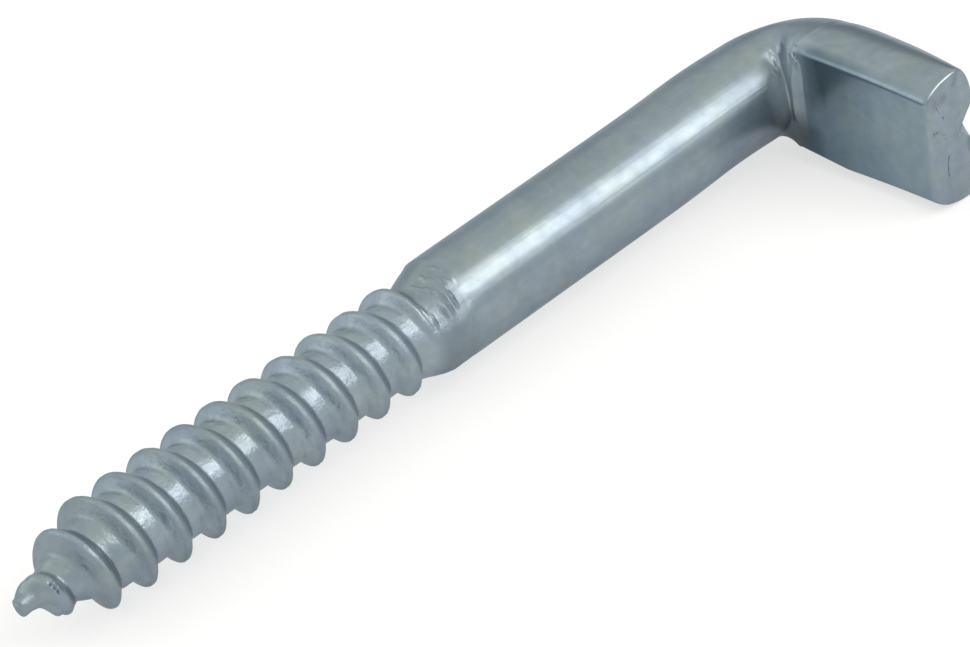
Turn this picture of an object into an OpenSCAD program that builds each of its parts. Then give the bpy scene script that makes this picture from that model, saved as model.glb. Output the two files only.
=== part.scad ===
// Bent screw-in pin: one forged and rolled steel wire, lying on its side.
// X runs along the shank and out of the pointed tip, Y along the pressed arm, Z up.

/* [Shank] */
// diameter of the smooth shank
shank_d = 6; // [5:0.1:8]
// length of the smooth shank between the shoulder and the bend
shank_len = 24; // [16:0.5:40]

/* [Thread] */
// length of the threaded end, from the shoulder to the tip
thread_len = 29.9; // [26:0.1:40]
// distance between turns of the single right-handed thread
pitch = 2.33; // [2.1:0.01:2.8]
// diameter over the thread crests behind the point
crest_d = 5.98; // [5.7:0.02:6]
// diameter over the thread crests at the shoulder
crest_d_end = 5.72; // [5.5:0.02:5.9]
// diameter at the thread roots on the straight part
root_d = 4.5; // [4:0.1:4.8]
// where the thread starts round the axis
start_turn = 0.43; // [0:0.01:1]
// width of the ridge's flank on the tip's side, as a share of the pitch
lead_flank = 0.29; // [0.2:0.01:0.45]
// width of the ridge's flank on the shank's side, as a share of the pitch
trail_flank = 0.4; // [0.2:0.01:0.5]
// length over which the thread runs out into the shank
runout = 3.6; // [2.5:0.1:4.5]

/* [Point] */
// length of the tapered gimlet point
point_len = 5.6; // [5:0.1:7]
// diameter of the blunt end of the point
nub_d = 0.84; // [0.6:0.02:1.2]

/* [Bend and arm] */
// radius left in the inner corner of the bend
corner_r = 0.25; // [0.2:0.05:1]
// length of the arm beyond the inner corner
arm_len = 9; // [8:0.5:14]
// distance of the pressed flat from the arm's middle line, at the corner
flat_depth = 2.75; // [2.3:0.05:2.8]
// distance of the pressed flat from the arm's middle line, at the end
flat_depth_end = 2.4; // [2.2:0.05:2.8]
// how far the pressed arm rises above the shank's axis
rise = 3.96; // [3.4:0.02:4]
// how far the pressed arm drops below the shank's axis
drop = 3.7; // [3.4:0.02:4]
// depth of the rounded back, at the corner
back_depth = 3.12; // [2.6:0.02:3.3]
// depth of the back at the sheared end, which is thinner and squarer
back_depth_end = 1.4; // [1.2:0.05:2.2]
// half height of the sheared end
end_half = 3.98; // [3.6:0.02:4.2]
// how far the arm's half-round crown sits towards its flat side
crown_shift = 0.75; // [0:0.05:1.5]
// width of the slanted facet that the press leaves in the corner
facet = 0.5; // [0.3:0.05:0.8]
// depth of the bite left in the back of the sheared end
bite = 1.2; // [0:0.1:1.4]

/* [Hidden] */
shank_r = shank_d / 2;
shank_half = shank_len / 2;
tip_x = shank_half + thread_len;
crest_r = crest_d / 2;
crest_end_r = crest_d_end / 2;
root_r = root_d / 2;
skin_r = shank_r - 0.02;
ring_n = 24;
step_n = 12;
overlap = 3;
flat_n = 7;
back_n = 26;
side_n = flat_n + back_n;
bend_n = 14;
arm_n = 12;
split_a = 132;
steel = [0.66, 0.69, 0.72];

// ---- shared curves

function clamp01(t) = max(0, min(1, t));
function mix(a, b, t) = a + (b - a) * t;
function ease(a, b, x) = let (t = clamp01((x - a) / (b - a))) t * t * (3 - 2 * t);

// height of the rolled ridge at turn u, 0 at the root and 1 at the crest
crest_at = 0.745;
function flank(w, wide) = 0.5 + 0.5 * cos(180 * min(w / wide, 1));
function ridge_at(u) = let (v = u - crest_at + 0.37, w = v - floor(v) - 0.37)
  w < 0 ? pow(flank(-w, lead_flank), 1.3) : pow(flank(w, trail_flank), 0.85);

// core and crest radius along the point, as shares of the straight thread's
core_share = [[0, nub_d / root_d], [0.09, 0.22], [0.21, 0.275], [0.43, 0.49], [0.68, 0.78], [1, 1]];
crest_share = [[0, 0.155], [0.12, 0.25], [0.24, 0.335], [0.45, 0.63], [0.65, 0.83], [0.86, 0.97], [1, 1]];

function core_at(d) = d < point_len ? root_r * lookup(d / point_len, core_share) : root_r;
function top_at(d) = d < point_len
  ? crest_r * lookup(d / point_len, crest_share)
  : mix(crest_r, crest_end_r, clamp01((d - point_len - 6) / (thread_len - point_len - 11)));

// radius of the threaded end at distance d from the tip and angle a
function thread_r(d, a) = let (
    s = d + 0.8 * cos(a - 227),
    end = max(ease(thread_len - runout, thread_len - 0.4, s), ease(thread_len - 1.2, thread_len - 0.1, d)),
    core = mix(core_at(d), skin_r, end),
    fade = 1 - ease(thread_len - runout - 0.1, thread_len - runout / 2, s),
    lift = max(0, top_at(d) - core) * fade
  ) core + lift * ridge_at(d / pitch - a / 360 + start_turn);

// ---- closed skin over a list of rings with the same number of points

module skin(rings) {
  n = len(rings[0]);
  m = len(rings);
  pts = [for (r = rings) each r];
  side = [
    for (k = [0 : m - 2])
      for (i = [0 : n - 1])
        let (j = (i + 1) % n)
          each [[k * n + i, (k + 1) * n + j, k * n + j], [k * n + i, (k + 1) * n + i, (k + 1) * n + j]]
  ];
  first = [[for (i = [0 : n - 1]) i]];
  last = [[for (i = [n - 1 : -1 : 0]) (m - 1) * n + i]];
  polyhedron(points = pts, faces = concat(side, first, last), convexity = 6);
}

// ---- threaded end with its gimlet point

module threaded_end() {
  count = round((thread_len) / pitch * step_n);
  rings = [
    for (k = [0 : count + 1])
      let (d = k <= count ? thread_len * k / count : thread_len + overlap)
        [for (i = [0 : ring_n - 1]) let (a = 360 * i / ring_n, r = k <= count ? thread_r(d, a) : skin_r)
          [tip_x - d, -r * cos(a), r * sin(a)]]
  ];
  skin(rings);
}

// ---- bend and pressed arm

// angle round the section of point i: first the pressed side, then the back
function side_a(i) = i < flat_n
  ? split_a + (360 - 2 * split_a) * i / (flat_n - 1)
  : split_a * (2 * (i - flat_n + 1) / (back_n + 1) - 1);

// round section, as [outwards from the corner, up]
function round_pt(i) = [shank_r * cos(side_a(i)), shank_r * sin(side_a(i))];

// pressed section: flat towards the tip, flared edges, and a half-round back centred on hub;
// lip is the flat's own distance over its upper middle, where the corner's facet lies
function pressed_pt(i, df, lip, up, down, back, edge, square, hub) = let (
    a = side_a(i),
    side = abs(a) / split_a,
    h = sin(a) > 0 ? up : -down,
    share = sin(a) > 0 ? edge[0] : edge[1],
    e = 90 * min(side / 0.85, 1),
    k = clamp01((side - 0.85) / 0.15)
  ) i < flat_n
    ? [i > 0 && i < 4 ? -lip : -df, mix(edge[0] * up, -edge[1] * down, i / (flat_n - 1))]
    : side < 0.85
      ? [hub + (back - hub) * pow(cos(e), square), h * pow(sin(e), square)]
      : [mix(hub, -df, k), h * sqrt(1 - k * k * (1 - share * share))];

module bend_and_arm() {
  mid = shank_r + corner_r;
  // each station: [bend angle, share of the arm]
  stations = concat(
    [for (k = [0 : bend_n]) [90 * k / bend_n, 0]],
    [[90, facet / arm_len]],
    [for (k = [1 : arm_n]) [90, k / arm_n]]
  );
  lead = [for (i = [0 : side_n - 1]) let (p = round_pt(i) * skin_r / shank_r)
    [-shank_half + overlap, -p[0], p[1]]];
  join = [for (i = [0 : side_n - 1]) let (p = round_pt(i) * skin_r / shank_r)
    [-shank_half, -p[0], p[1]]];
  body = [
    for (k = [1 : len(stations) - 1])
      let (
        b = stations[k][0],
        l = stations[k][1],
        press = ease(0, 60, b),
        reach = l * arm_len,
        grow = b < 90 ? b / 90 * 0.62 : mix(0.62, 1, clamp01(reach / 2.2)),
        tail = pow(l, 2),
        up = mix(mix(shank_r, rise, min(1, grow * 1.35)), end_half, tail),
        sink = b < 90 ? b / 90 * 0.3 : mix(0.3, 1, clamp01(reach / 3)),
        down = mix(mix(shank_r, drop, sink), end_half, pow(l, 3)),
        back = mix(mix(shank_r, back_depth, grow), back_depth_end, pow(l, 2.6)),
        df = mix(flat_depth, flat_depth_end, l),
        lip = b < 90
          ? mid - mix(0.36, 0.1, ease(0, 80, b))
          : mix(mid - 0.1, df, clamp01(reach / facet)),
        edge = [mix(0.975, 0.86, tail), mix(0.94, 0.84, l)],
        square = mix(mix(1, 0.9, grow), 0.75, tail),
        hub = mix(-crown_shift * press, 0, tail),
        cut = bite * ease(0.78, 1, l)
      )
        [for (i = [0 : side_n - 1])
          let (
            p = mix(round_pt(i), pressed_pt(i, df, lip, up, down, back, edge, square, hub), press),
            dent = p[0] > 0 ? cut * exp(-pow((p[1] - 0.2) / 0.95, 2)) : 0,
            out = mid + p[0] - dent
          )
            [-shank_half - out * sin(b), mid - out * cos(b) + l * arm_len, p[1]]]
  ];
  // the sheared face stands a little proud inside a broken edge, more so at its lower lobe
  face = [
    for (i = [0 : side_n - 1])
      let (
        q = body[len(body) - 1][i],
        low = ease(-1, -3.6, q[2])
      )
        [mix(-shank_half - mid + 0.6, q[0], 0.93), q[1] + 0.25 + 0.35 * low, q[2] * mix(0.94, 0.97, low)]
  ];
  skin(concat([lead, join], body, [face]));
}

module hinge_pin() {
  color(steel)
    union() {
      threaded_end();
      translate([-shank_half, 0, 0])
        rotate([0, 90, 0])
          cylinder(h = shank_len, r = shank_r, $fn = 64);
      bend_and_arm();
    }
}

hinge_pin();
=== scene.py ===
# Bent screw-in pin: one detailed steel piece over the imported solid, a white floor, two lamps and a camera.
import bmesh
import bpy
import math
import numpy as np
from mathutils import Matrix, Vector, noise


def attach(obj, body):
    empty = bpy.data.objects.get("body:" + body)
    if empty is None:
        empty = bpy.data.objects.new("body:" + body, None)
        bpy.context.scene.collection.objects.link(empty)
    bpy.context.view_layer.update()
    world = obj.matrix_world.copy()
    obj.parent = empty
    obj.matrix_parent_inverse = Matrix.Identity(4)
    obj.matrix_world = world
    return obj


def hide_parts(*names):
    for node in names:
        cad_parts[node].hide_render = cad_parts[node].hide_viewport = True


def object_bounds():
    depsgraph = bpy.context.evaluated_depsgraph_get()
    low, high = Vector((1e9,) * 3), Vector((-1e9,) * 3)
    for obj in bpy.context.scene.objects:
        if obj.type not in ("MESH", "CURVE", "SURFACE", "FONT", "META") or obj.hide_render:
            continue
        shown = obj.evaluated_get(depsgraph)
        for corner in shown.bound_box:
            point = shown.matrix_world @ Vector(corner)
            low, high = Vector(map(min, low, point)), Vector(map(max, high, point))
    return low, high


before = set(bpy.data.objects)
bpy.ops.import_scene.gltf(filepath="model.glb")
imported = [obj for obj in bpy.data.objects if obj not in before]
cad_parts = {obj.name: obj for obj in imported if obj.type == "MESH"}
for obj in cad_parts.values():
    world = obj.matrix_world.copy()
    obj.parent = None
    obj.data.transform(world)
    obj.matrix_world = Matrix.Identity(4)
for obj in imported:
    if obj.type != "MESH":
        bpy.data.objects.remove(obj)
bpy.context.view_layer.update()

# ---------------------------------------------------------------- sizes, in millimetres

MM = 0.001                 # the scene itself is in metres

SHANK_R = 2.998
SHANK_LEN = 24.0
HALF = SHANK_LEN / 2       # the origin is half way along the shank

THREAD_LEN = 29.9
TIP_X = HALF + THREAD_LEN
PITCH = 2.33
START_TURN = 0.43          # shifts the helix round the bar, in turns
CREST_R = 2.99
CREST_END_R = 2.86         # crests near the shoulder are lower
FALL_AFTER = 6.0           # crests keep their height this far past the point
FALL_BEFORE = 5.0          # and are at their lowest this far before the shoulder
ROOT_R = 2.25
POINT_LEN = 5.6
CREST_AT = 0.745           # place of the crest in a turn
LEAD, TRAIL = 0.29, 0.40   # widths of its flanks, in turns
AHEAD = 0.37               # a turn is counted from this far ahead of its crest
SEAM = 0.042               # depth of the hair line that rolling left along the crest
SLANT, SLANT_A = 0.8, 227  # the thread ends on a slanted line: its slant, and the angle where that peaks
FADE = (26.2, 28.1)        # the ridge fades between these distances from the tip, along that line,
GROW = (26.3, 29.5)        # the core grows to the shank's radius between these, along it too,
GROW_LAST = (28.7, 29.8)   # and at the latest between these, straight across

BEND_R = 3.25              # radius of the bend's middle line
ARM_LEN = 9.0
FLAT_DEPTH, FLAT_DEPTH_END = 2.75, 2.4    # from the middle line in to the flat: at the corner, at the end
BACK_DEPTH, BACK_DEPTH_END = 3.12, 1.4    # from the middle line out to the back
RISE, DROP, END_HALF = 3.96, 3.70, 3.98   # half heights: up and down near the corner, both at the end
BEND_RISE, BEND_DROP = 0.62, 0.30         # shares of the rise and the drop reached at the end of the bend
BITE = 1.2                 # depth of the bite in the back of the sheared end
SPLIT_A = 132.0            # angle from the middle of the back to the edges of the flat
CROWN = 0.85               # share of that angle which the crown of the back takes up

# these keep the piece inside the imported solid
BAR_TOP = 2.994            # wrinkles and uneven places on the bar stand no higher
BACK_X = -18.328           # nothing reaches further back
FACE_Y = 12.84             # roughness lifts the sheared face no further

ROUND_N = 104              # points round every ring
FLAT_N = 33                # of which on the pressed flat
TURN_N = 42                # rings to a turn of thread
CORNER_N = 16              # points to each side that a rounded corner may move
CLOSE_FROM = 21.4          # rings lie close together from here on the shank, in from the shoulder,
CLOSE_STEP = 0.055         # and at this step beside the corner of the arm,
CLOSE_N = 11               # for this many rings
EDGE_N = 4                 # rings in the rounded edge of the sheared face
FACE_N = 24                # rings from there to its middle


def clamp01(t):
    return np.clip(t, 0.0, 1.0)


def mix(a, b, t):
    return a + (b - a) * t


def ease(a, b, x):
    """0 before a, 1 past b, smooth between them."""
    t = clamp01((np.asarray(x, float) - a) / (b - a))
    return t * t * (3 - 2 * t)


def window(x, a, b, soft):
    """1 from a to b, with both ends softened."""
    return ease(a - soft, a + soft, x) * (1 - ease(b - soft, b + soft, x))


def bell(x, at, wide):
    """A smooth hump of height 1."""
    return np.exp(-((x - at) / wide) ** 2)


def lookup(x, pairs):
    """A line through pairs of place and value."""
    p = np.array(pairs, float)
    return np.interp(x, p[:, 0], p[:, 1])


def grain(points, scale, seed):
    """Smooth noise, about -1 to 1, at each point."""
    off = Vector((seed * 17.3, seed * 5.1, seed * 9.7))
    return np.array([noise.noise(Vector(p) * scale + off) for p in points])


# ---------------------------------------------------------------- points round a ring

def crowd(n):
    """The n values from 0 to 1 that a ring's stretch uses, closer together at both ends."""
    k = np.arange(n) / (n - 1)
    return 0.45 * k + 0.55 * (0.5 - 0.5 * np.cos(np.pi * k))


def side_angles():
    """Angles round the arm: first across the flat, then round the back."""
    flat = SPLIT_A + (360 - 2 * SPLIT_A) * crowd(FLAT_N)
    back = SPLIT_A * (2 * crowd(ROUND_N - FLAT_N + 2)[1:-1] - 1) + 360
    return np.concatenate([flat, back])


EVEN_A = SPLIT_A + 360 * np.arange(ROUND_N) / ROUND_N
SIDE_A = side_angles()


# ---------------------------------------------------------------- threaded end

def ridge(turn):
    """Height of the rolled ridge, 0 to 1, and the distance from its crest, in turns."""
    m = (turn - CREST_AT + AHEAD) % 1 - AHEAD
    lead = (0.5 + 0.5 * np.cos(np.pi * np.minimum(-m / LEAD, 1))) ** 1.3
    trail = (0.5 + 0.5 * np.cos(np.pi * np.minimum(m / TRAIL, 1))) ** 0.85
    return np.where(m < 0, lead, trail), m


def core_at(d):
    """Radius at the roots, at a distance from the tip."""
    share = ((0, 0.187), (0.09, 0.22), (0.21, 0.275), (0.43, 0.49), (0.68, 0.78), (1, 1))
    return ROOT_R * lookup(d / POINT_LEN, share)


def top_at(d):
    """Radius at the crests, at a distance from the tip."""
    share = ((0, 0.155), (0.12, 0.25), (0.24, 0.335), (0.45, 0.63), (0.65, 0.83), (0.86, 0.97), (1, 1))
    near = CREST_R * lookup(d / POINT_LEN, share)
    fall = (d - POINT_LEN - FALL_AFTER) / (THREAD_LEN - POINT_LEN - FALL_AFTER - FALL_BEFORE)
    return np.where(d < POINT_LEN, near, mix(CREST_R, CREST_END_R, clamp01(fall)))


def point_forms(d, a):
    """Small forms at the gimlet point: a horn where the first turn starts, a nick and a rolled streak."""
    horn = 0.60 * bell(d, 1.72, 0.28) * bell(a, 229, 17)
    off = d - 1.82 - 0.005 * (a - 135)
    nick = (0.05 * bell(np.abs(off), 0.13, 0.05) - 0.10 * bell(off, 0, 0.06)) * window(a, 133, 166, 4)
    streak = 0.05 * bell(a + 10.5 * (d - 2.66), 135, 7) * window(d, 2.6, 3.6, 0.2)
    return horn + nick + streak


def thread_rings():
    """The thread and its point, from the tip to the shoulder."""
    n = int(round(THREAD_LEN / PITCH * TURN_N))
    D, A = np.meshgrid(THREAD_LEN * np.arange(n + 1) / n, EVEN_A, indexing="ij")
    slant = D + SLANT * np.cos(np.radians(A - SLANT_A))
    core = mix(core_at(D), SHANK_R, np.maximum(ease(*GROW, slant), ease(*GROW_LAST, D)))
    lift = np.maximum(0, top_at(D) - core) * (1 - ease(*FADE, slant))
    height, m = ridge(D / PITCH - A / 360 + START_TURN)
    seam = SEAM * bell(m, 0.01, 0.028) * clamp01(lift / 0.5) * ease(2.0, 6.0, D)
    r = core + lift * height - seam
    # the tip is a blunt, uneven nub
    r = r * (1 - 0.42 * bell(D, 0, 0.16)) + 0.035 * bell(D, 0, 0.5) * np.sin(np.radians(3 * A + 200 * D))
    r = r + point_forms(D, A % 360)
    a = np.radians(A)
    return np.stack([TIP_X - D - 0.16 * bell(D, 0, 0.2), -r * np.cos(a), r * np.sin(a)], -1)


# ---------------------------------------------------------------- shank

def shank_rings():
    """The smooth bar. Its rings lie closer together at the end that carries the die's mark."""
    runs = np.concatenate([np.linspace(0, CLOSE_FROM, 44)[1:], np.linspace(CLOSE_FROM, SHANK_LEN, 33)[1:]])
    rings = []
    for run in runs:
        a = np.radians(mix(EVEN_A, SIDE_A, ease(0.3, 1, run / SHANK_LEN)))
        rings.append(np.stack([np.full(ROUND_N, HALF - run), -SHANK_R * np.cos(a), SHANK_R * np.sin(a)], -1))
    return np.array(rings)


# distance from the tip, first and last angle round the bar, slope in mm to a degree, height
WRINKLES = (
    (27.40, 126, 137, 0.000, 0.06), (27.58, 137, 153, -0.004, 0.12), (28.30, 135, 150, 0.000, 0.11),
    (28.65, 124, 149, -0.003, 0.13), (29.02, 126, 145, -0.005, 0.12), (28.78, 88, 104, -0.008, 0.11),
    (28.20, 88, 112, 0.008, 0.10), (29.60, 90, 103, 0.010, 0.09), (29.78, 108, 120, -0.015, 0.14),
    (28.45, 104, 120, 0.010, 0.09), (29.20, 106, 122, -0.006, 0.10), (28.95, 99, 105, 0.000, 0.12),
    (29.45, 112, 119, 0.000, 0.11), (28.10, 97, 103, 0.000, 0.12),
)


def wrinkles(points):
    """Short pressed ridges in a shallow dip at the shoulder, where the rolls ran out."""
    angle = np.degrees(np.arctan2(points[:, 2], -points[:, 1])) % 360
    d = TIP_X - points[:, 0]
    out = np.zeros(len(points))
    for at, first, last, slope, height in WRINKLES:
        off = (angle - (first + last) / 2) * slope
        out += height * bell(d, at + off, 0.09) * window(angle, first, last, 4)
    return out - 0.10 * window(d, 27.2, 29.85, 0.35) * window(angle, 84, 154, 10)


def work_bar(points):
    """Moves the bar's points out or in for the wrinkles and the uneven thread."""
    r = np.hypot(points[:, 1], points[:, 2])
    on_bar = points[:, 0] >= -HALF - 1e-6
    on_thread = (points[:, 0] > HALF - 0.1) & (r > 0.6)
    push = np.where(on_bar, wrinkles(points), 0)
    push[on_thread] += 0.022 * grain(points[on_thread], 0.8, 1) + 0.014 * grain(points[on_thread], 2.6, 2)
    worked = np.where(on_bar, np.minimum(r + push, np.maximum(r, BAR_TOP)), r)
    points[:, 1:] *= (worked / np.maximum(r, 1e-6))[:, None]


def bow_shank(points):
    """The shank bows up a trace before the bend."""
    x = points[:, 0]
    points[:, 2] += 0.15 * bell(x, -8.6, 3.0) * ease(-13.5, -10.5, x)


# ---------------------------------------------------------------- bend and pressed arm

def round_corner(ring, at, before, after):
    """Rounds a ring's corner at index at, with a curve from a length before it to a length after it."""
    index = (at + np.arange(-CORNER_N, CORNER_N + 1)) % len(ring)
    near = ring[index]
    step = np.linalg.norm(np.diff(near, axis=0), axis=1)
    run = np.concatenate([[0], np.cumsum(step)])
    run -= run[CORNER_N]
    first = np.array([np.interp(-before, run, near[:, k]) for k in (0, 1)])
    last = np.array([np.interp(after, run, near[:, k]) for k in (0, 1)])
    corner = near[CORNER_N]
    out = ring.copy()
    for i, s in zip(index, run):
        if -before < s < after:
            k = (s + before) / (before + after)
            out[i] = (1 - k) ** 2 * first + 2 * k * (1 - k) * corner + k * k * last
    return out


def half_round(depth, up, down, back, edge_up, edge_down, square, hub):
    """The pressed section, as distances outwards and up from the middle line.

    The crown of the back ends at hub, and a square below 1 makes it boxier. At the edges of the flat the
    half heights have shrunk to the shares edge_up and edge_down.
    """
    upper = np.sin(np.radians(SIDE_A)) > 0
    side = np.abs((SIDE_A + 180) % 360 - 180) / SPLIT_A
    tall = np.where(upper, up, down)
    share = np.where(upper, edge_up, edge_down)
    over = np.minimum(side / CROWN, 1) * math.pi / 2
    k = clamp01((side - CROWN) / (1 - CROWN))
    crown_out, crown_up = hub + (back - hub) * np.cos(over) ** square, np.sin(over) ** square
    flank_out, flank_up = mix(hub, -depth, k), np.sqrt(1 - k * k * (1 - share * share))
    out = np.where(side < CROWN, crown_out, flank_out)
    rise = np.where(side < CROWN, crown_up, flank_up) * tall * np.where(upper, 1, -1)
    ring = np.stack([out, rise], -1)
    ring[:FLAT_N, 0] = -depth
    ring[:FLAT_N, 1] = mix(edge_up * up, -edge_down * down, crowd(FLAT_N))
    ring = round_corner(ring, 0, 1.15, 0.40)
    return round_corner(ring, FLAT_N - 1, 0.35, 0.6)


def station(turned, along):
    """One ring of the bend, at 0 to 90 degrees, or of the arm, at a share of its length."""
    reach = along * ARM_LEN
    press, late = float(ease(0, 60, turned)), float(ease(28, 52, turned))
    if turned < 90:
        rise, drop = turned / 90 * BEND_RISE, turned / 90 * BEND_DROP
        lip, lip_depth = float(ease(26, 46, turned)), BEND_R - mix(0.36, 0.10, ease(0, 80, turned))
    else:
        rise, drop = mix(BEND_RISE, 1, min(1, reach / 2.2)), mix(BEND_DROP, 1, min(1, reach / 3))
        inner_depth = BEND_R - mix(FLAT_DEPTH, FLAT_DEPTH_END, along)
        lip, lip_depth = float(reach < 0.56), BEND_R - mix(0.10, inner_depth, min(1, reach / 0.5))
    tail = along * along
    swell = 0.35 * float(ease(15, 90, turned) * (1 - ease(0, 1.2, reach)))
    pressed = half_round(
        depth=mix(FLAT_DEPTH, FLAT_DEPTH_END, along),
        up=mix(mix(SHANK_R, RISE, min(1, rise * 1.6)), END_HALF, tail),
        down=mix(mix(SHANK_R, DROP, drop), END_HALF, along ** 3),
        back=mix(mix(SHANK_R, BACK_DEPTH, rise), BACK_DEPTH_END, along ** 2.6),
        edge_up=mix(0.975, 0.86, tail),
        edge_down=mix(0.94, 0.84, along),
        square=mix(mix(1, 0.9, rise), 0.75, tail),
        hub=mix(-0.75 * press, 0, tail) - swell)
    c, s = np.cos(np.radians(SIDE_A)), np.sin(np.radians(SIDE_A))
    # the inner upper side stays round for longer
    inner = ease(0.3, -0.3, c) * ease(-0.7, 0.1, s)
    p = mix(SHANK_R * np.stack([c, s], -1), pressed, mix(press, late, inner)[:, None])
    if lip > 0:
        # metal that the press pushed up into the corner
        up = p[:, 1]
        there = lip * window(up, -1.0, 2.6, 0.8) * (c < -0.2)
        p[:, 0] = mix(p[:, 0], -lip_depth + 0.10 * (up / 3) ** 2, there)
    bite = BITE * float(ease(0.78, 1, along)) * bell(p[:, 1], 0.2, 0.95)
    out = BEND_R + p[:, 0] - np.where(p[:, 0] > 0, bite, 0)
    sine, cosine = math.sin(math.radians(turned)), math.cos(math.radians(turned))
    return np.stack([-HALF - out * sine, BEND_R - out * cosine + reach, p[:, 1]], -1)


def arm_rings():
    """The bend, then the arm. Its rings lie closer together beside the corner."""
    bend = [station(turned, 0.0) for turned in np.linspace(0, 90, 57)[1:]]
    close = np.arange(1, CLOSE_N + 1) * CLOSE_STEP
    reaches = np.concatenate([close, np.linspace(CLOSE_N * CLOSE_STEP, ARM_LEN, 56)[1:]])
    return np.array(bend + [station(90.0, reach / ARM_LEN) for reach in reaches])


def end_rings(last):
    """The sheared face: a rounded, broken edge, then rings in to the middle."""
    middle_x = -HALF - BEND_R
    low = ease(-1, -3.6, last[:, 2])
    lip = np.stack([mix(middle_x + 0.6, last[:, 0], 0.93), last[:, 1] + 0.25 + 0.35 * low,
                    last[:, 2] * mix(0.94, 0.97, low)], -1)
    rings = []
    for k in np.arange(1, EDGE_N + 1) / EDGE_N:
        a = k * math.pi / 2
        ring = mix(last, lip, 1 - math.cos(a))
        ring[:, 1] = mix(last[:, 1], lip[:, 1], math.sin(a))
        rings.append(ring)
    centre = np.array([middle_x + 0.7, lip[:, 1].mean(), -0.2])
    for k in np.linspace(1, 0, FACE_N + 2)[1:-1]:
        rings.append(mix(centre, lip, k))
    return np.array(rings), centre


# tears in the sheared face, each a line from one (x, z) to another
TEARS = (((-13.6, 2.7), (-14.3, 1.3)), ((-13.3, 0.9), (-14.1, 0.3)), ((-14.2, -0.9), (-14.0, -2.7)))


def tear_face(face):
    """Roughens the sheared face and cuts the tears into it."""
    rough = 0.07 * grain(face, 1.1, 5) + 0.035 * grain(face, 3.2, 6)
    waver = 0.25 * np.stack([grain(face, 0.9, 8), grain(face, 0.9, 9)], -1)
    across = face[:, [0, 2]]
    for start, stop in np.array(TEARS):
        line = stop - start
        k = clamp01(((across - start) @ line) / (line @ line))
        gap = np.linalg.norm(across - (start + k[:, None] * line) + waver, axis=1)
        rough -= 0.12 * bell(gap, 0, 0.15)
    room = np.maximum(0, FACE_Y - face[:, 1])
    face[:, 1] += np.minimum(rough, room)


# the die's mark in the corner is laid out on a plane that faces it: a to the right, c up
MARK_AT = np.array([-12.25, 3.25, 0.0])
MARK_OUT = np.array([0.582, 0.602, 0.547])
MARK_RIGHT = np.array([-0.719, 0.695, 0.0])
MARK_UP = np.array([-0.380, -0.393, 0.837])

# its lines: where the groove's left wall, its bottom and its right wall lie, and how high the facet reaches
GROOVE_LEFT = ((-0.7, -1.33), (0.0, -1.4), (0.9, -1.5), (1.8, -1.25), (2.6, -0.95), (4.05, -0.6))
GROOVE_BASE = ((-0.76, -0.2), (0.23, -0.41), (1.98, -0.44), (4.05, -0.45))
GROOVE_RIGHT = ((-0.72, 0.56), (1.85, 0.51), (2.3, 0.48), (2.72, 0.2), (3.2, -0.05), (4.05, -0.42))
FACET_TOP = ((-0.45, 4.05), (-0.16, 3.78), (0.31, 3.51), (0.77, 3.2), (1.3, 2.8))


def die_mark(points):
    """Presses the die's mark into the corner: a groove, its slanted far wall and small nicks."""
    q = points - MARK_AT
    a, c, near = q @ MARK_RIGHT, q @ MARK_UP, q @ MARK_OUT > -1.6
    pick = near & (np.abs(a) < 2.6) & (c > -1.6) & (c < 4.8)
    a, c, p = a[pick], c[pick], points[pick]
    rag = grain(p, 2.3, 31)
    left = lookup(c, GROOVE_LEFT) + 0.10 * rag
    base = lookup(c, GROOVE_BASE) + 0.05 * rag
    right = lookup(c, GROOVE_RIGHT)
    top = lookup(a, FACET_TOP)
    deep = 0.24 * ease(-1.1, -0.4, c) * (1 - 0.8 * ease(1.7, 2.5, c)) * (1 - ease(3.3, 4.1, c))
    into, out_of = clamp01((a - left) / (base - left)), 1 - clamp01((a - base) / (right - base))
    d = deep * np.where(a < base, into, out_of)
    d += 0.17 * np.exp(-((a + 0.95) ** 2 / 0.34 + (c - 2.75) ** 2 / 0.36)) * ease(-0.1, -0.6, a)
    d -= 0.05 * bell(a, right, 0.08) * window(c, 2.3, 3.7, 0.2)
    d -= 0.08 * np.exp(-((a + 0.5) ** 2 + (c - 4.08) ** 2) / 0.02)
    facet = ease(0.0, 0.12, top - c) * ease(0.0, 0.12, a - right)
    d += 0.20 * facet * (1 - ease(0.3, 0.8, a)) * ease(2.1, 2.5, c)
    d += 0.06 * grain(p, 4.1, 33) * window(c, 1.4, 3.9, 0.2) * window(a, -1.1, 0.2, 0.15)
    points[pick] -= d[:, None] * MARK_OUT


# ---------------------------------------------------------------- one closed mesh

def pin_points():
    """Rings of points from the tip to the sheared face, and the middle of that face."""
    thread, shank, arm = thread_rings(), shank_rings(), arm_rings()
    end, centre = end_rings(arm[-1])
    rings = np.concatenate([thread, shank, arm, end])
    points = rings.reshape(-1, 3)
    work_bar(points)
    bow_shank(points)
    points[:, 0] = np.maximum(points[:, 0], BACK_X)
    die_mark(points)
    face_from = len(rings) - FACE_N - 1
    tear_face(points[face_from * ROUND_N:])
    return points, centre


def pin_faces(points):
    """Quads between neighbouring rings, and a fan of triangles at each end."""
    n = ROUND_N
    last = len(points) - n
    tip, centre = len(points), len(points) + 1
    faces = []
    for start in range(0, last, n):
        for i in range(n):
            j = (i + 1) % n
            faces.append((start + i, start + n + i, start + n + j, start + j))
    for i in range(n):
        j = (i + 1) % n
        faces.append((tip, i, j))
        faces.append((centre, last + j, last + i))
    return faces


def smooth(mesh, crease):
    """Smooth shading, apart from edges sharper than the crease."""
    for poly in mesh.polygons:
        poly.use_smooth = True
    bm = bmesh.new()
    bm.from_mesh(mesh)
    bmesh.ops.recalc_face_normals(bm, faces=bm.faces)
    for edge in bm.edges:
        if len(edge.link_faces) == 2 and edge.calc_face_angle(0) > crease:
            edge.smooth = False
    bm.to_mesh(mesh)
    bm.free()


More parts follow.
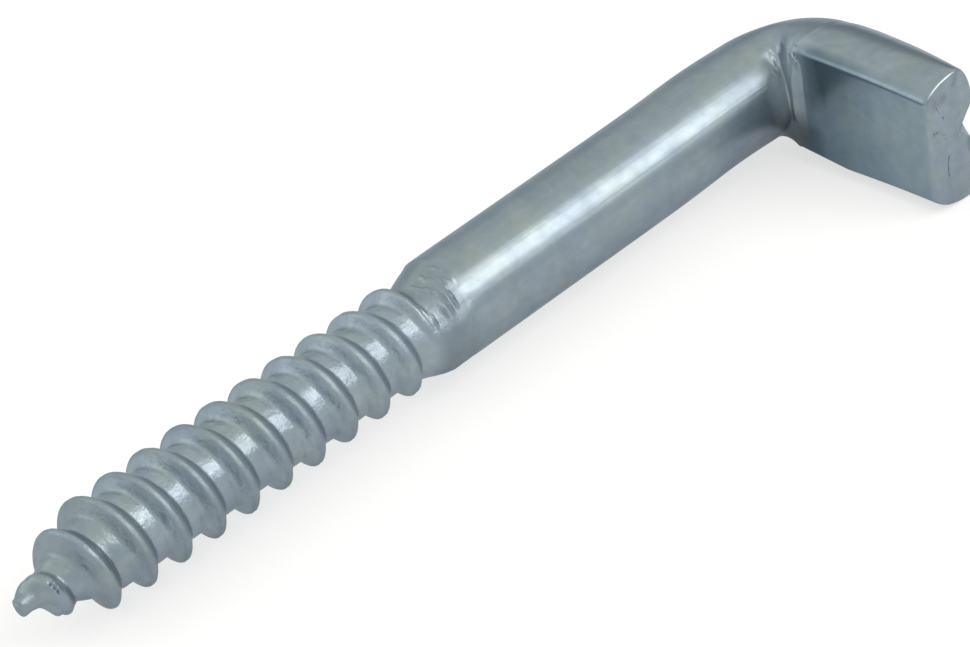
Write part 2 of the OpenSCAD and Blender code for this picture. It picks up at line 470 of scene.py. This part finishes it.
def put(name, data):
    """Adds an object to the scene."""
    thing = bpy.data.objects.new(name, data)
    bpy.context.scene.collection.objects.link(thing)
    return thing


points, centre = pin_points()
tip = np.array([TIP_X - 0.14, 0.0, 0.0])
mesh = bpy.data.meshes.new("pin_steel")
mesh.from_pydata([tuple(p * MM) for p in (*points, tip, centre)], [], pin_faces(points))
mesh.validate()
smooth(mesh, math.radians(38))
pin = put("pin_steel", mesh)

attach(pin, "root")
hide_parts("hinge_pin")


# ---------------------------------------------------------------- nodes

class Nodes:
    """The nodes of a material or the world. Most methods add one and return its output."""

    def __init__(self, owner):
        owner.use_nodes = True
        self.tree = owner.node_tree
        self.tree.nodes.clear()
        self.link = self.tree.links.new

    def new(self, kind, operation=None):
        node = self.tree.nodes.new("ShaderNode" + kind)
        if operation:
            node.operation = operation
        return node

    def feed(self, socket, value):
        """Links an output to a socket, or sets the socket to a plain value."""
        if isinstance(value, bpy.types.NodeSocket):
            self.link(value, socket)
        else:
            socket.default_value = value

    def calc(self, operation, values):
        """Runs one operation over all values, from the left."""
        total = values[0]
        for value in values[1:]:
            node = self.new("Math", operation)
            self.feed(node.inputs[0], total)
            self.feed(node.inputs[1], value)
            total = node.outputs[0]
        return total

    def add(self, *values):
        return self.calc("ADD", values)

    def less(self, *values):
        return self.calc("SUBTRACT", values)

    def times(self, *values):
        return self.calc("MULTIPLY", values)

    def unsigned(self, value):
        """A value without its sign."""
        node = self.new("Math", "ABSOLUTE")
        self.link(value, node.inputs[0])
        return node.outputs[0]

    def vector_outputs(self, operation, values):
        node = self.new("VectorMath", operation)
        for socket, value in zip(node.inputs, values):
            self.feed(socket, value)
        return node.outputs

    def vector(self, operation, *values):
        """A vector worked out from vectors."""
        return self.vector_outputs(operation, values)["Vector"]

    def number(self, operation, *values):
        """A number worked out from vectors, such as a length."""
        return self.vector_outputs(operation, values)["Value"]

    def span(self, value, low, high, to_low, to_high, kind="LINEAR"):
        """Maps low..high to to_low..to_high, and holds the ends."""
        node = self.new("MapRange")
        node.interpolation_type = kind
        for name, v in (("From Min", low), ("From Max", high), ("To Min", to_low), ("To Max", to_high)):
            node.inputs[name].default_value = v
        self.link(value, node.inputs["Value"])
        return node.outputs[0]

    def ramp(self, value, *stops):
        """A colour ramp with two stops, each a position and a colour."""
        node = self.new("ValToRGB")
        for element, (position, colour) in zip(node.color_ramp.elements, stops):
            element.position = position
            element.color = (*colour, 1)
        self.link(value, node.inputs[0])
        return node.outputs[0]

    def texture(self, where, scale, detail, rough=0.5, stretch=None):
        """Noise, stretched along the axes where a stretch is given."""
        if stretch:
            mapping = self.new("Mapping")
            mapping.inputs["Scale"].default_value = stretch
            self.link(where, mapping.inputs[0])
            where = mapping.outputs[0]
        node = self.new("TexNoise")
        node.inputs["Scale"].default_value = scale
        node.inputs["Detail"].default_value = detail
        node.inputs["Roughness"].default_value = rough
        self.link(where, node.inputs["Vector"])
        return node.outputs[0]

    def bump(self, height, distance, strength, normal=None):
        node = self.new("Bump")
        node.inputs["Strength"].default_value = strength
        node.inputs["Distance"].default_value = distance
        self.link(height, node.inputs["Height"])
        if normal:
            self.link(normal, node.inputs["Normal"])
        return node.outputs[0]


# ---------------------------------------------------------------- zinc

ZINC_DARK, ZINC_PALE = (0.230, 0.277, 0.322), (0.286, 0.337, 0.377)
FILM_BLUE, FILM_YELLOW = (0.98, 0.99, 1.02), (1.03, 1.03, 0.96)
FLAT_TINT = (-0.006, 0.016, 0.032)           # added to the colour on the pressed flat
SHEEN = (0.62, 0.66, 0.70, 1)                # tint of the shader's specular light
SCRAPED_AT = (-12.35 * MM, 3.20 * MM, 0.0)   # middle of the dull spot in the corner


class Named:
    """Outputs of nodes, kept by name."""


def zinc_marks(n, where):
    """Noise at the sizes of the plating's marks."""
    marks = Named()
    marks.streak = n.texture(where, 1.0, 3.0, 0.55, (28, 1500, 1500))
    marks.line = n.texture(where, 1.0, 2.0, 0.6, (14, 3600, 3600))
    marks.pressed = n.texture(where, 1.0, 2.0, 0.5, (60, 900, 50))
    marks.cloud = n.texture(where, 520.0, 4.0, 0.6)
    marks.blotch = n.texture(where, 1500.0, 3.0, 0.6)
    marks.fine = n.texture(where, 5200.0, 2.0)
    marks.film = n.texture(where, 330.0, 2.0, 0.6)
    marks.edge = n.texture(where, 420.0, 3.0, 0.6)
    marks.curve = n.texture(where, 180.0, 1.0, 0.5)
    return marks


def zinc_zones(n, where, marks):
    """Masks of the pin's regions, and amounts of painted shade and light for some, from places in
    millimetres.
    """
    split = n.new("SeparateXYZ")
    n.link(where, split.inputs[0])
    x, y, z = split.outputs[:3]
    radius = n.number("LENGTH", n.vector("MULTIPLY", where, (0, 1, 1)))

    def band(value, low, high, to_low=0.0, to_high=1.0):
        return n.span(value, low * MM, high * MM, to_low, to_high)

    zone = Named()
    # the drawn bar and the rolled thread, its crests, its flanks and its core; the flanks and core carry
    # painted light
    zone.bar = band(x, HALF + 1.4, HALF)
    zone.rolled = n.less(1.0, zone.bar)
    zone.crest = n.times(zone.rolled, band(radius, 2.62, 2.85))
    turns = n.times(band(x, HALF + 2.2, HALF + 3.2), band(x, TIP_X - 7.4, TIP_X - 5.4, 1.0, 0.0))
    rising = n.times(band(radius, 2.26, 2.40), band(radius, 2.72, 2.90, 1.0, 0.0))
    zone.flank = n.times(turns, rising)
    zone.core = n.times(turns, band(radius, 2.26, 2.40, 1.0, 0.0))
    zone.shoulder = n.times(band(x, HALF - 0.1, HALF + 0.7), band(x, HALF + 2.2, HALF + 3.0, 1.0, 0.0))
    # the arm, its flat, the sheared face, the flat without that, and what keeps the drawn bar's streaks
    zone.arm = band(y, 3.1, 4.2)
    zone.flat = n.times(zone.arm, band(x, -13.4, -12.9))
    ragged = n.add(y, n.span(marks.edge, 0.3, 0.7, -0.22 * MM, 0.22 * MM))
    zone.torn = band(ragged, 12.22, 12.36)
    zone.pressed = n.times(zone.flat, n.less(1.0, zone.torn))
    zone.drawn = n.times(zone.bar, n.span(zone.arm, 0.0, 1.0, 1.0, 0.12))
    # the scraped corner, duller and less metallic, with painted light above and painted shade below
    off = n.vector("MULTIPLY", n.vector("SUBTRACT", where, SCRAPED_AT), (1, 1, 0.2))
    zone.scraped = band(n.number("LENGTH", off), 0.8, 1.9, 1.0, 0.0)
    zone.scraped_tone = band(z, -0.2, -1.4, 0.22, -0.20)
    # amounts of painted shade: on the flat towards the corner, where it stands in for the bar's dark
    # reflection, under the bar before the bend, and low down
    zone.burnt = n.times(zone.pressed, band(y, 4.4, 10.5, 0.50, 0.12))
    # painted shade under the bar before the bend, beside the arm
    nook = n.times(band(x, -6.0, -11.2), band(z, 1.2, -1.0, 0.0, 0.34))
    zone.nook = n.times(nook, n.less(1.0, zone.arm))
    # painted shade, darker towards the bottom
    zone.below = band(z, 1.0, -2.0, 0.0, 0.09)
    # fine cracks in the sheared face, bumped in and with painted shade along them
    line = n.span(n.unsigned(n.less(marks.curve, 0.47)), 0.0, 0.03, 1.0, 0.0)
    zone.crack = n.times(zone.torn, line, n.span(marks.cloud, 0.46, 0.58, 0.0, 1.0))
    return zone


def zinc_tone(n, marks, zone):
    """How pale the plating is: mottled on the thread, streaked on the drawn bar."""
    streaks = n.times(n.less(marks.streak, 0.5), zone.drawn)
    return n.add(n.times(marks.cloud, 0.55), n.times(marks.blotch, 0.45), n.times(streaks, 0.32))


def zinc_colour(n, marks, zone, tone):
    """Bluish zinc, paler and darker in patches, with a trace of yellow-green in its film. Painted shade
    darkens the flat near the corner, the bar before the bend, the cracks, the shoulder and the bottom;
    painted light pales the thread's flanks and core, and the scraped corner above, with painted shade below
    it.
    """
    base = n.ramp(tone, (0.34, ZINC_DARK), (0.66, ZINC_PALE))
    film = n.ramp(marks.film, (0.42, FILM_BLUE), (0.66, FILM_YELLOW))
    # painted shade: darker near the corner of the flat, under the bar before the bend, and along the cracks
    shade = n.less(1.0, n.add(zone.burnt, zone.nook, n.times(zone.crack, 0.30)))
    # painted light: paler on the thread's flanks, and a little on its core
    shade = n.add(shade, n.add(n.times(zone.flank, 0.20), n.times(zone.core, 0.08)))
    # painted shade: darker on the shoulder, and darker towards the bottom
    shade = n.less(shade, n.times(zone.shoulder, 0.08), zone.below)
    # painted light above and painted shade below in the scraped corner
    shade = n.add(shade, n.times(zone.scraped, zone.scraped_tone))
    toned = n.vector("SCALE", n.vector("MULTIPLY", base, film))
    n.link(shade, toned.node.inputs["Scale"])
    return n.vector("MULTIPLY_ADD", zone.pressed, FLAT_TINT, toned)


def zinc_metal(n, zone):
    """Less metallic on the rolled thread, and least in the scraped corner."""
    plain = n.span(zone.rolled, 0.0, 1.0, 0.97, 0.84)
    return n.less(plain, n.times(zone.scraped, 0.42))


def zinc_rough(n, zone, tone):
    """Dull in dark patches, on the thread and its crests and in the corner, and smoother on the arm."""
    rough = n.add(n.span(tone, 0.3, 0.7, 0.38, 0.29), n.times(zone.rolled, 0.07), n.times(zone.crest, 0.14))
    rough = n.add(rough, n.add(n.times(zone.shoulder, 0.02), n.times(zone.scraped, 0.12)))
    return n.less(rough, n.times(zone.arm, 0.09))


def zinc_normal(n, marks, zone):
    """Bumps one over the other, each with its height, its distance in millimetres and its strength."""
    def weaker(on_bar):
        return n.span(zone.rolled, 0.0, 1.0, on_bar, 1.0)

    layers = (
        (n.times(marks.fine, weaker(0.15)), 0.014, 0.5),
        (n.times(marks.blotch, weaker(0.08)), 0.09, 0.75),
        (n.times(marks.cloud, weaker(0.10)), 0.14, 0.5),
        (n.times(marks.streak, zone.drawn), 0.06, 0.25),
        (n.times(marks.line, zone.drawn), 0.02, 0.45),
        (n.times(marks.pressed, zone.flat), 0.04, 0.35),
        (n.times(zone.crack, -1.0), 0.08, 0.35),
    )
    normal = None
    for height, distance, strength in layers:
        normal = n.bump(height, distance * MM, strength, normal)
    return normal


def zinc():
    material = bpy.data.materials.new("zinc_plated_steel")
    n = Nodes(material)
    out, metal = n.new("OutputMaterial"), n.new("BsdfPrincipled")
    where = n.new("TexCoord").outputs["Object"]
    marks = zinc_marks(n, where)
    zone = zinc_zones(n, where, marks)
    tone = zinc_tone(n, marks, zone)
    metal.inputs["Specular IOR Level"].default_value = 0.3
    metal.inputs["Specular Tint"].default_value = SHEEN
    n.link(zinc_colour(n, marks, zone, tone), metal.inputs["Base Color"])
    n.link(zinc_metal(n, zone), metal.inputs["Metallic"])
    n.link(zinc_rough(n, zone, tone), metal.inputs["Roughness"])
    n.link(zinc_normal(n, marks, zone), metal.inputs["Normal"])
    n.link(metal.outputs[0], out.inputs[0])
    return material


mesh.materials.append(zinc())


# ---------------------------------------------------------------- floor

FLOOR_HALF = 3.0       # half its side, in metres
FLOOR_GREY = (0.36, 0.36, 0.36, 1)
FLOOR_GLOW = 0.62


def floor_paint():
    """Grey that takes the pin's shadow, with a glow that makes it white to the eye and in the metal."""
    material = bpy.data.materials.new("floor_white")
    n = Nodes(material)
    out, grey, glow = n.new("OutputMaterial"), n.new("BsdfDiffuse"), n.new("Emission")
    grey.inputs["Color"].default_value = FLOOR_GREY
    glow.inputs["Color"].default_value = (1, 1, 1, 1)
    ray = n.new("LightPath").outputs
    seen = n.add(ray["Is Camera Ray"], ray["Is Glossy Ray"], ray["Is Transmission Ray"])
    n.link(n.times(seen, FLOOR_GLOW), glow.inputs["Strength"])
    both = n.new("AddShader")
    n.link(grey.outputs[0], both.inputs[0])
    n.link(glow.outputs[0], both.inputs[1])
    n.link(both.outputs[0], out.inputs[0])
    return material


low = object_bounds()[0][2]
corners = [(x * FLOOR_HALF, y * FLOOR_HALF, low) for x, y in ((-1, -1), (1, -1), (1, 1), (-1, 1))]
floor_mesh = bpy.data.meshes.new("floor")
floor_mesh.from_pydata(corners, [], [(0, 1, 2, 3)])
floor_mesh.materials.append(floor_paint())
floor = put("floor", floor_mesh)


# ---------------------------------------------------------------- light

ROOM_LOW, ROOM_HIGH = (0.70, 0.76, 0.81), (0.99, 1.0, 0.915)
DARK_AT = (-0.80, -0.59, 0.10)         # direction of the room's dark patch
LIT = Vector((0.012, 0.003, 0.0))      # the lamps face this place, in metres
LAMP_DISTANCE = 0.4


def studio():
    """A pale room, bluer below and warmer above, with a dark patch low down that the arm's top mirrors."""
    world = bpy.data.worlds.new("studio")
    n = Nodes(world)
    out, light = n.new("OutputWorld"), n.new("Background")
    where = n.new("TexCoord").outputs["Generated"]
    split = n.new("SeparateXYZ")
    n.link(where, split.inputs[0])
    sky = n.ramp(split.outputs["Z"], (0.0, ROOM_LOW), (0.6, ROOM_HIGH))
    nearness = n.number("DOT_PRODUCT", where, DARK_AT)
    n.link(sky, light.inputs["Color"])
    n.link(n.span(nearness, 0.89, 0.98, 1.03, 0.60, "SMOOTHSTEP"), light.inputs["Strength"])
    n.link(light.outputs[0], out.inputs[0])
    return world


def softbox(name, direction, wide, tall, power, colour=(1, 1, 1)):
    """An area lamp in a direction from the pin, facing it."""
    lamp = bpy.data.lights.new(name, "AREA")
    lamp.shape = "RECTANGLE"
    lamp.size, lamp.size_y = wide, tall
    lamp.energy = power
    lamp.color = colour
    back = Vector(direction).normalized()
    side = Vector((1, 0, 0))
    side = (side - back * side.dot(back)).normalized()
    box = put(name, lamp)
    box.location = LIT + back * LAMP_DISTANCE
    box.rotation_euler = Matrix((side, back.cross(side), back)).transposed().to_euler()


bpy.context.scene.world = studio()
softbox("key", (-0.32, 0.62, 0.72), 0.34, 0.215, 0.71, (1.0, 0.955, 0.925))
softbox("edge", (0.58, -0.63, 0.52), 0.26, 0.26, 0.14)


# ---------------------------------------------------------------- camera

def camera():
    """A long lens. Its vectors say where it stands, where it looks and what is to its right."""
    lens = bpy.data.cameras.new("camera")
    lens.sensor_width = 36.0
    lens.lens = 164.53
    lens.clip_start = 0.01
    lens.clip_end = 20.0
    place = Vector((0.1294874, 0.1498003, 0.1350565))
    ahead = Vector((-0.50820983, -0.63404171, -0.58284979)).normalized()
    right = Vector((-0.70142801, 0.69740482, -0.14705527))
    right = (right - ahead * right.dot(ahead)).normalized()
    turn = Matrix((right, right.cross(ahead), -ahead)).transposed()
    view = put("camera", lens)
    view.matrix_world = Matrix.Translation(place) @ turn.to_4x4()
    return view


scene = bpy.context.scene
scene.camera = camera()
scene.view_settings.view_transform = "Standard"
